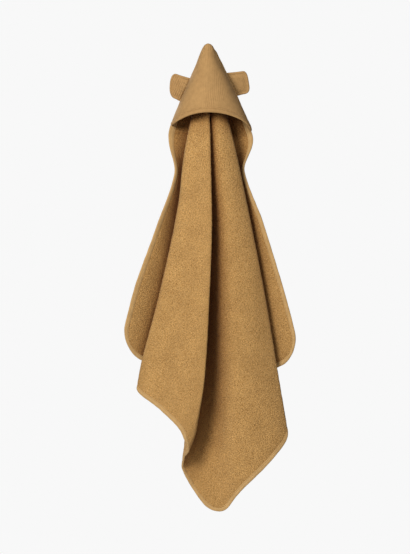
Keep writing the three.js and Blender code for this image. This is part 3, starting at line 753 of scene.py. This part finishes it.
def gauze_material():
    """Crinkled cotton double gauze: an open plain weave with soft pale ribs."""
    material, tree, shader = new_material("double_gauze", (0.52, 0.31, 0.125), 0.9, 0.12,
                                          (1.0, 0.88, 0.68))
    metres = cloth_coordinates(tree, (1, 1, 1))
    diagonal = cloth_coordinates(tree, (1, 1, 1), math.radians(45))
    warp = node(tree, "ShaderNodeTexWave", [
        ("Vector", diagonal), ("Scale", 300.0), ("Distortion", 0.8)], bands_direction="X")
    weft = node(tree, "ShaderNodeTexWave", [
        ("Vector", diagonal), ("Scale", 300.0), ("Distortion", 0.8)], bands_direction="Y")
    weave = maths(tree, "MULTIPLY", warp.outputs["Fac"], weft.outputs["Fac"])
    creases = node(tree, "ShaderNodeTexNoise", [
        ("Vector", metres), ("Scale", 90.0), ("Detail", 4.0), ("Roughness", 0.6)])
    slubs = node(tree, "ShaderNodeTexNoise", [
        ("Vector", metres), ("Scale", 18.0), ("Detail", 2.0)])
    tone = mixed(tree, weave, (0.43, 0.245, 0.092, 1), (0.545, 0.325, 0.130, 1))
    shade = color_ramp(tree, creases.outputs["Fac"], [
        (0.32, (0.88, 0.87, 0.85)), (0.62, (1.05, 1.05, 1.05))])
    tone = mixed(tree, 0.8, tone, shade, "MULTIPLY")
    uneven = color_ramp(tree, slubs.outputs["Fac"], [
        (0.35, (0.96, 0.955, 0.95)), (0.65, (1.03, 1.03, 1.03))])
    tone = mixed(tree, 0.9, tone, uneven, "MULTIPLY")
    tree.links.new(tone, shader.inputs["Base Color"])
    puckers = bump(tree, creases.outputs["Fac"], 0.35, 0.0014)
    tree.links.new(bump(tree, weave, 0.35, 0.0003, puckers), shader.inputs["Normal"])
    return material


gauze_cloth_material = gauze_material()
hood_panel.data.materials.append(gauze_cloth_material)
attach(hood_panel, "towel")
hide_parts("hood_panel")

# ------------------------------------------------------------------------------------------
# Hood lining. A thinner terry triangle inside the gauze, cut short of the seams and of the
# tip. It follows the gauze, with its own low pile on both faces.
# ------------------------------------------------------------------------------------------
LINING_THICK = 2.4
LINING_GAP = 0.8
LINING_INSET = 6
LINING_TOP = 60                # it starts this far down the hood's centre line
LINING_CRINKLE = 0.2           # the share of the gauze's crinkle that shows through

lining_a, lining_b = hood_grid(LINING_INSET, LINING_TOP, HEM_TOP + HEM_LAP, 110, 36)
lining_middle = -(GAUZE_THICK / 2 + LINING_GAP + LINING_THICK / 2)
lining_middle = lining_middle + crinkle(lining_a, lining_b) * LINING_CRINKLE
loft = LINING_THICK / 2
front, back = relief(hood_at, lining_a, lining_b, lining_middle,
                     loft - 0.2 + 0.1 * noise(lining_a.shape, 8),
                     loft + 0.25 * noise(lining_a.shape, 9))
hood_lining = closed_sheet("hood_terry_lining", front, back,
                           np.stack([lining_a, lining_b], axis=-1))
hood_lining.data.materials.append(terry_cloth_material)
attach(hood_lining, "towel")
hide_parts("hood_lining")

# ------------------------------------------------------------------------------------------
# Hood hem band. A strip of the same gauze folded over the hood's mouth and sewn down, with
# one row of stitches near its upper edge and a soft roll at its fold.
# ------------------------------------------------------------------------------------------
HEM_STITCH = 4.0               # below the band's upper edge
HEM_ROLL = 2.4                 # radius of the roll at the fold
HEM_MIDDLE = -0.9              # the band wraps both faces of the gauze and the lining's edge
HEM_BACK = 2.3

band_a, band_b = hood_grid(2, HEM_TOP, HEM_DOWN, 300, 26)
band_down = (band_a + band_b) / math.sqrt(2) - HEM_TOP
roll = np.sqrt(np.clip(1 - ((band_down - (HEM_WIDTH - HEM_ROLL)) / HEM_ROLL) ** 2, 0, 1))
rolled = np.where(band_down > HEM_WIDTH - HEM_ROLL, roll, 1.0)
tucked = smooth_ramp(band_down, 0, 1.6)
groove = np.exp(-((band_down - HEM_STITCH) / 1.1) ** 2)
swell = np.exp(-((band_down - 8.6) / 2.6) ** 2)
puckers = 0.16 * np.sin((band_b - band_a) / 2.1) * np.exp(-((band_down - HEM_STITCH) / 3) ** 2)
band_front = 0.5 + 1.2 * tucked + 0.7 * swell - 1.2 * groove + puckers
band_back = np.full(band_front.shape, HEM_BACK)
front, back = relief(hood_at, band_a, band_b, np.full(band_a.shape, HEM_MIDDLE),
                     (band_front - HEM_MIDDLE) * rolled, band_back * rolled)
hem_band = closed_sheet("hood_hem", front, back, np.stack([band_a, band_b], axis=-1))
hem_band.data.materials.append(gauze_cloth_material)
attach(hem_band, "towel")
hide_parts("hood_hem_band")

seam_a, seam_b = hood_grid(4, HEM_TOP + HEM_STITCH, HEM_TOP + HEM_STITCH, 300, 1)
seam_points = hood_at(seam_a[0], seam_b[0])
seam_facing = facing(hood_at, seam_a[0], seam_b[0])
hem_stitches = stitch_row("hem_stitches", seam_points + seam_facing * 0.6, seam_facing, "towel")

# ------------------------------------------------------------------------------------------
# Ears. Two gauze faces sewn together round their rim over a little wadding, and caught in
# the hood's side seams. The seam allowance inside makes a firm rolled border.
# ------------------------------------------------------------------------------------------
EAR_LEFT_AT = 157              # along each seam from the corner
EAR_RIGHT_AT = 132
EAR_ROOT = 60
EAR_WIDTH = 57
EAR_LENGTH = 35
EAR_TOP_SIDE = 28              # length of the straight part of its top and bottom sides
EAR_LOW_SIDE = 10
EAR_TAPER = {-1: 9, 1: 7}      # longer at the top and shorter at the bottom
EAR_SLANT = {-1: 0.08, 1: 0.3}  # how much it slips down the seam as it runs out
EAR_ROUNDNESS = {-1: 2.5, 1: 3.4}   # the right ear has squarer corners
EAR_CLEARANCE = 2.4
EAR_TUCK = 4.5                 # the root runs this far into the hood's seam
EAR_BORDER = 6.0               # width of the firm border
EAR_BORDER_LOFT = 2.5          # half the thickness at the border's middle
EAR_GROOVE_LOFT = 1.7          # and beside it
EAR_SOFT_LOFT = 1.5            # more in the middle, over the wadding
EAR_WALL = 0.7
EAR_WADDING_GAP = 1.3
WADDING_HALF_WIDTH = 25        # of the flat batt, before it is closed in
WADDING_LENGTH = 40
THINNEST = 0.04
EAR_CRINKLE = {-1: 1.5, 1: 0.4}


class Ear:
    """The shape of one ear: s runs across it from -1 to 1, and t from the root to the rim."""

    def __init__(self, side, place):
        ends = np.array([place - EAR_ROOT / 2, place, place + EAR_ROOT / 2])
        zero = np.zeros(3)
        seam = terry_at(ends, zero) if side < 0 else terry_at(zero, ends)
        seam[:, 1] -= sway(ends, np.full(3, 45.0 * side))
        self.down = unit(seam[2] - seam[0])
        out = np.array([side, 0.1, 0.0])
        self.out = unit(out - self.down * out.dot(self.down))
        front = np.cross(self.down, self.out)
        self.front = front if front[1] < 0 else -front
        self.root = seam[1] + self.out * EAR_CLEARANCE
        self.round = EAR_ROUNDNESS[side]
        self.slant = EAR_SLANT[side]
        self.taper = EAR_TAPER[side]

    def reach(self, s):
        end = (1 - np.abs(s) ** self.round) ** (1 / self.round)
        side = EAR_TOP_SIDE + (EAR_LOW_SIDE - EAR_TOP_SIDE) * (s + 1) / 2
        return side + (EAR_LENGTH - self.taper * s - side) * end

    def half_width(self, t):
        rise = np.sin(np.clip(t, 0, 1) * np.pi / 2)
        return (EAR_ROOT + (EAR_WIDTH - EAR_ROOT) * rise) / 2

    def place(self, s, t, lift):
        outward = np.where(t < 0, t * EAR_TUCK, t * self.reach(s))
        across = s * self.half_width(t) + self.slant * outward
        return (self.root + across[..., None] * self.down + outward[..., None] * self.out
                + lift[..., None] * self.front)

    def rim_distance(self, s, t):
        ahead = (1 - t) * self.reach(s)
        aside = (1 - np.abs(s)) * self.half_width(t)
        return np.minimum(ahead, aside)

    def fullness(self, s, t):
        """Half the ear's thickness: a round border, a groove, and a soft middle."""
        inner = self.rim_distance(s, t)
        half = EAR_BORDER / 2
        border = EAR_BORDER_LOFT * np.sqrt(np.clip(1 - ((inner - half) / half) ** 2, 0, 1))
        border = np.where(inner > half, np.maximum(border, EAR_GROOVE_LOFT), border)
        middle = EAR_GROOVE_LOFT + EAR_SOFT_LOFT * smooth_ramp(inner, EAR_BORDER, 15)
        full = np.where(inner > EAR_BORDER - 1.2, middle, border)
        gathered = 0.45 + 0.55 * smooth_ramp(t, -0.2, 0.3)
        return full * gathered

    def pressed(self, t):
        """The back lies flatter where it passes behind the hood's seam."""
        return 0.35 + 0.65 * smooth_ramp(t, 0.05, 0.7)


def ear_grid(across, outward, low=-1.0, edge=1.0):
    s = edge * np.sin(np.linspace(-np.pi / 2, np.pi / 2, across + 1))
    t = low + (edge - low) * np.sin(np.linspace(0, np.pi / 2, outward + 1))
    return np.meshgrid(s, t, indexing="ij")


def ear_ribs(ear, s, t):
    """Crinkle ribs across the inner face, and gathers that fan out from the root."""
    inner = smooth_ramp(ear.rim_distance(s, t), EAR_BORDER - 1, EAR_BORDER + 2)
    outward = t * ear.reach(s)
    wave = np.sin(outward * 2 * np.pi / 4.8 + 1.2 * np.sin(s * 3.1) + 0.5 * np.sin(s * 9))
    gathers = np.sin(s * 19) * np.exp(-np.clip(t, 0, 1) * 6)
    return 0.5 * wave * inner + 0.5 * gathers


def ear_face(name, ear, facing_side, s, t, full, ribs):
    """One gauze face: crinkled in front, and pressed flatter behind."""
    outer = full + ribs if facing_side > 0 else (full + ribs * 0.2) * ear.pressed(t)
    inner = np.minimum(np.maximum(full - EAR_WALL, THINNEST), np.maximum(outer - 0.4, THINNEST))
    face = closed_sheet(name, ear.place(s, t, facing_side * np.maximum(outer, 0.1)),
                        ear.place(s, t, facing_side * inner),
                        np.stack([s * EAR_WIDTH / 2, t * EAR_LENGTH], axis=-1))
    face.data.materials.append(gauze_cloth_material)
    return recalculated(face)


def make_wadding_material():
    """Undyed cotton fibres, matted together."""
    material, tree, shader = new_material("cotton_wadding", (0.86, 0.84, 0.79), 1.0, 0.4)
    fibres = node(tree, "ShaderNodeTexNoise", [
        ("Vector", cloth_coordinates(tree, (1, 1, 1))), ("Scale", 300.0), ("Detail", 6.0)])
    tone = mixed(tree, fibres.outputs["Fac"], (0.74, 0.72, 0.67, 1), (0.93, 0.92, 0.88, 1))
    tree.links.new(tone, shader.inputs["Base Color"])
    tree.links.new(bump(tree, fibres.outputs["Fac"], 0.6, 0.001), shader.inputs["Normal"])
    return material


wadding_material = make_wadding_material()
for name, side, at in (("ear_left", -1, EAR_LEFT_AT), ("ear_right", 1, EAR_RIGHT_AT)):
    ear = Ear(side, at)
    s, t = ear_grid(72, 60)
    full = ear.fullness(s, t)
    ribs = ear_ribs(ear, s, t) * EAR_CRINKLE[side]
    for label, facing_side in (("front", 1), ("back", -1)):
        face = ear_face(f"{name}_gauze_{label}", ear, facing_side, s, t, full, ribs)
        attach(face, name)
        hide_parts(f"{name}_{label}")
    s, t = ear_grid(30, 24, 0.05, 0.86)
    core = np.maximum(ear.fullness(s, t) - EAR_WADDING_GAP, 0.3)
    wadding = recalculated(closed_sheet(
        f"{name}_filling", ear.place(s, t, core), ear.place(s, t, -core * ear.pressed(t)),
        np.stack([s * WADDING_HALF_WIDTH, t * WADDING_LENGTH], axis=-1)))
    wadding.data.materials.append(wadding_material)
    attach(wadding, name)
    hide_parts(f"{name}_wadding")

# ------------------------------------------------------------------------------------------
# Hanging loop. A narrow cotton tape folded over behind the hood's tip, its two ends sewn
# flat to the back of the towel's corner.
# ------------------------------------------------------------------------------------------
LOOP_TAPE = 8
LOOP_THICK = 1.2
LOOP_EYE = 11
LOOP_HEIGHT = 38
LOOP_RINGS = 15                # down each leg
LOOP_RING_STEP = 2.2           # length of tape from one ring to the next

radius = LOOP_EYE / 2 + LOOP_THICK / 2
bend = np.radians(np.linspace(180, 0, 25))
leg = np.linspace(-LOOP_HEIGHT, -LOOP_EYE / 2, LOOP_RINGS + 1)[:-1]
leg_x = np.full(LOOP_RINGS, radius)
path_x = np.concatenate([-leg_x, radius * np.cos(bend), leg_x])
path_z = np.concatenate([leg, -LOOP_EYE / 2 + radius * np.sin(bend), leg[::-1]])
loop_path = np.stack([path_x, np.zeros_like(path_x), path_z], axis=1)
ahead = unit(np.gradient(loop_path, axis=0))
outward = np.stack([-ahead[:, 2], np.zeros(len(ahead)), ahead[:, 0]], axis=1)
widths = np.linspace(-1, 1, 9)
edge_round = np.sqrt(np.clip(1 - np.abs(widths) ** 6, 0.12, 1))
across = np.array([0, 1, 0]) * (widths * (LOOP_TAPE / 2 - 0.05))[:, None]
loop_middle = loop_path[:, None, :] + across[None]
lift = (LOOP_THICK / 2 * edge_round)[None, :, None] * outward[:, None, :]
tape_along = np.arange(len(loop_path)) * LOOP_RING_STEP
flat = np.stack(np.meshgrid(tape_along, widths * LOOP_TAPE / 2, indexing="ij"), axis=-1)
loop_tape = recalculated(closed_sheet("loop_tape", loop_middle + lift, loop_middle - lift, flat))
loop_tape.data.materials.append(tape_material("loop_cotton", (0.46, 0.27, 0.095),
                                              (0.30, 0.16, 0.05)))
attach(loop_tape, "loop")
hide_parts("hanging_loop")

# ------------------------------------------------------------------------------------------
# Care label. A blank strip of white woven satin, folded in two and sewn by its top edge to
# the back of the towel, beside the binding on the right. Its free end curls a little.
# ------------------------------------------------------------------------------------------
LABEL_WIDTH = 24
LABEL_HEIGHT = 36
LABEL_HALF_THICK = 0.18

label_low, label_high = (np.array(corner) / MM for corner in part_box("care_label"))
label_s, label_t = np.meshgrid(np.linspace(0, 1, 17), np.linspace(0, 1, 25), indexing="xy")
label_x = label_low[0] + (label_high[0] - label_low[0]) * label_s
label_z = label_high[2] + (label_low[2] - label_high[2]) * label_t
curl = 0.9 * label_t ** 2 + 0.25 * np.sin(label_s * 5) * label_t
label_y = (label_low[1] + label_high[1]) / 2 + curl
label_front = np.stack([label_x, label_y - LABEL_HALF_THICK, label_z], axis=-1)
label_back = np.stack([label_x, label_y + LABEL_HALF_THICK, label_z], axis=-1)
label_flat = np.stack([label_s * LABEL_WIDTH, label_t * LABEL_HEIGHT], axis=-1)
care_label = recalculated(closed_sheet("blank_label", label_front, label_back, label_flat))
label_material, tree, shader = new_material("label_satin", (0.86, 0.84, 0.79), 0.45, 0.1)
ribs = node(tree, "ShaderNodeTexWave", [
    ("Vector", cloth_coordinates(tree, (1, 1, 1))), ("Scale", 500.0)], bands_direction="Y")
satin_tone = mixed(tree, ribs.outputs["Fac"], (0.78, 0.76, 0.71, 1), (0.90, 0.88, 0.84, 1))
tree.links.new(satin_tone, shader.inputs["Base Color"])
tree.links.new(bump(tree, ribs.outputs["Fac"], 0.3, 0.0002), shader.inputs["Normal"])
care_label.data.materials.append(label_material)
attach(care_label, "label")
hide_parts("care_label")

# ------------------------------------------------------------------------------------------
# Studio. A plain pale floor well below the towel, a soft key light from the left, weaker
# ones from the right and behind, and a level camera straight in front. Lengths are in metres.
# ------------------------------------------------------------------------------------------
FLOOR_SIZE = 4.0
FLOOR_LEVEL = -1.8
VIEW_HEIGHT = 1.280            # of the towel's plane, from the top to the bottom of the view
CAMERA_AWAY = 5.0
CAMERA_SIDE = -0.007
CAMERA_LEVEL = -0.534

bpy.ops.mesh.primitive_plane_add(size=FLOOR_SIZE, location=(0, 0, FLOOR_LEVEL))
floor = bpy.context.object
floor.name = "studio_floor"
floor_material, tree, shader = new_material("pale_floor", (0.85, 0.85, 0.85), 0.9)
floor.data.materials.append(floor_material)


def area_light(name, place, aim, size, power):
    """A round soft light at a place, turned to face another."""
    data = bpy.data.lights.new(name, "AREA")
    data.shape = "DISK"
    data.size = size
    data.energy = power
    lamp = bpy.data.objects.new(name, data)
    lamp.location = place
    direction = np.array(aim) - np.array(place)
    pan = math.atan2(direction[1], direction[0]) - math.pi / 2
    tilt = math.atan2(direction[2], math.hypot(direction[0], direction[1])) + math.pi / 2
    lamp.rotation_euler = (tilt, 0, pan)
    lamp.visible_camera = False
    bpy.context.scene.collection.objects.link(lamp)


area_light("key", (-1.45, -2.85, 0.6), (0, 0, -0.5), 1.3, 95)
area_light("fill", (1.1, -2.9, 1.3), (0, 0, -0.1), 0.9, 25)
area_light("back", (-1.0, 2.6, 0.9), (0, 0, -0.5), 1.6, 60)

world = bpy.data.worlds.new("studio")
bpy.context.scene.world = world
world.use_nodes = True
tree = world.node_tree
seen = tree.nodes["Background"]
seen.inputs["Color"].default_value = (0.939, 0.939, 0.939, 1)
lit = node(tree, "ShaderNodeBackground", [("Color", (1.0, 0.99, 0.98, 1)), ("Strength", 0.10)])
rays = node(tree, "ShaderNodeLightPath")
choose = node(tree, "ShaderNodeMixShader", [
    (0, rays.outputs["Is Camera Ray"]), (1, lit.outputs[0]), (2, seen.outputs[0])])
tree.links.new(choose.outputs[0], tree.nodes["World Output"].inputs["Surface"])

camera_data = bpy.data.cameras.new("camera")
camera_data.sensor_width = 36
camera_data.lens = camera_data.sensor_width * CAMERA_AWAY / VIEW_HEIGHT
camera = bpy.data.objects.new("camera", camera_data)
camera.location = (CAMERA_SIDE, -CAMERA_AWAY, CAMERA_LEVEL)
camera.rotation_euler = (math.pi / 2, 0, 0)
bpy.context.scene.collection.objects.link(camera)
bpy.context.scene.camera = camera
bpy.context.scene.view_settings.view_transform = "Standard"
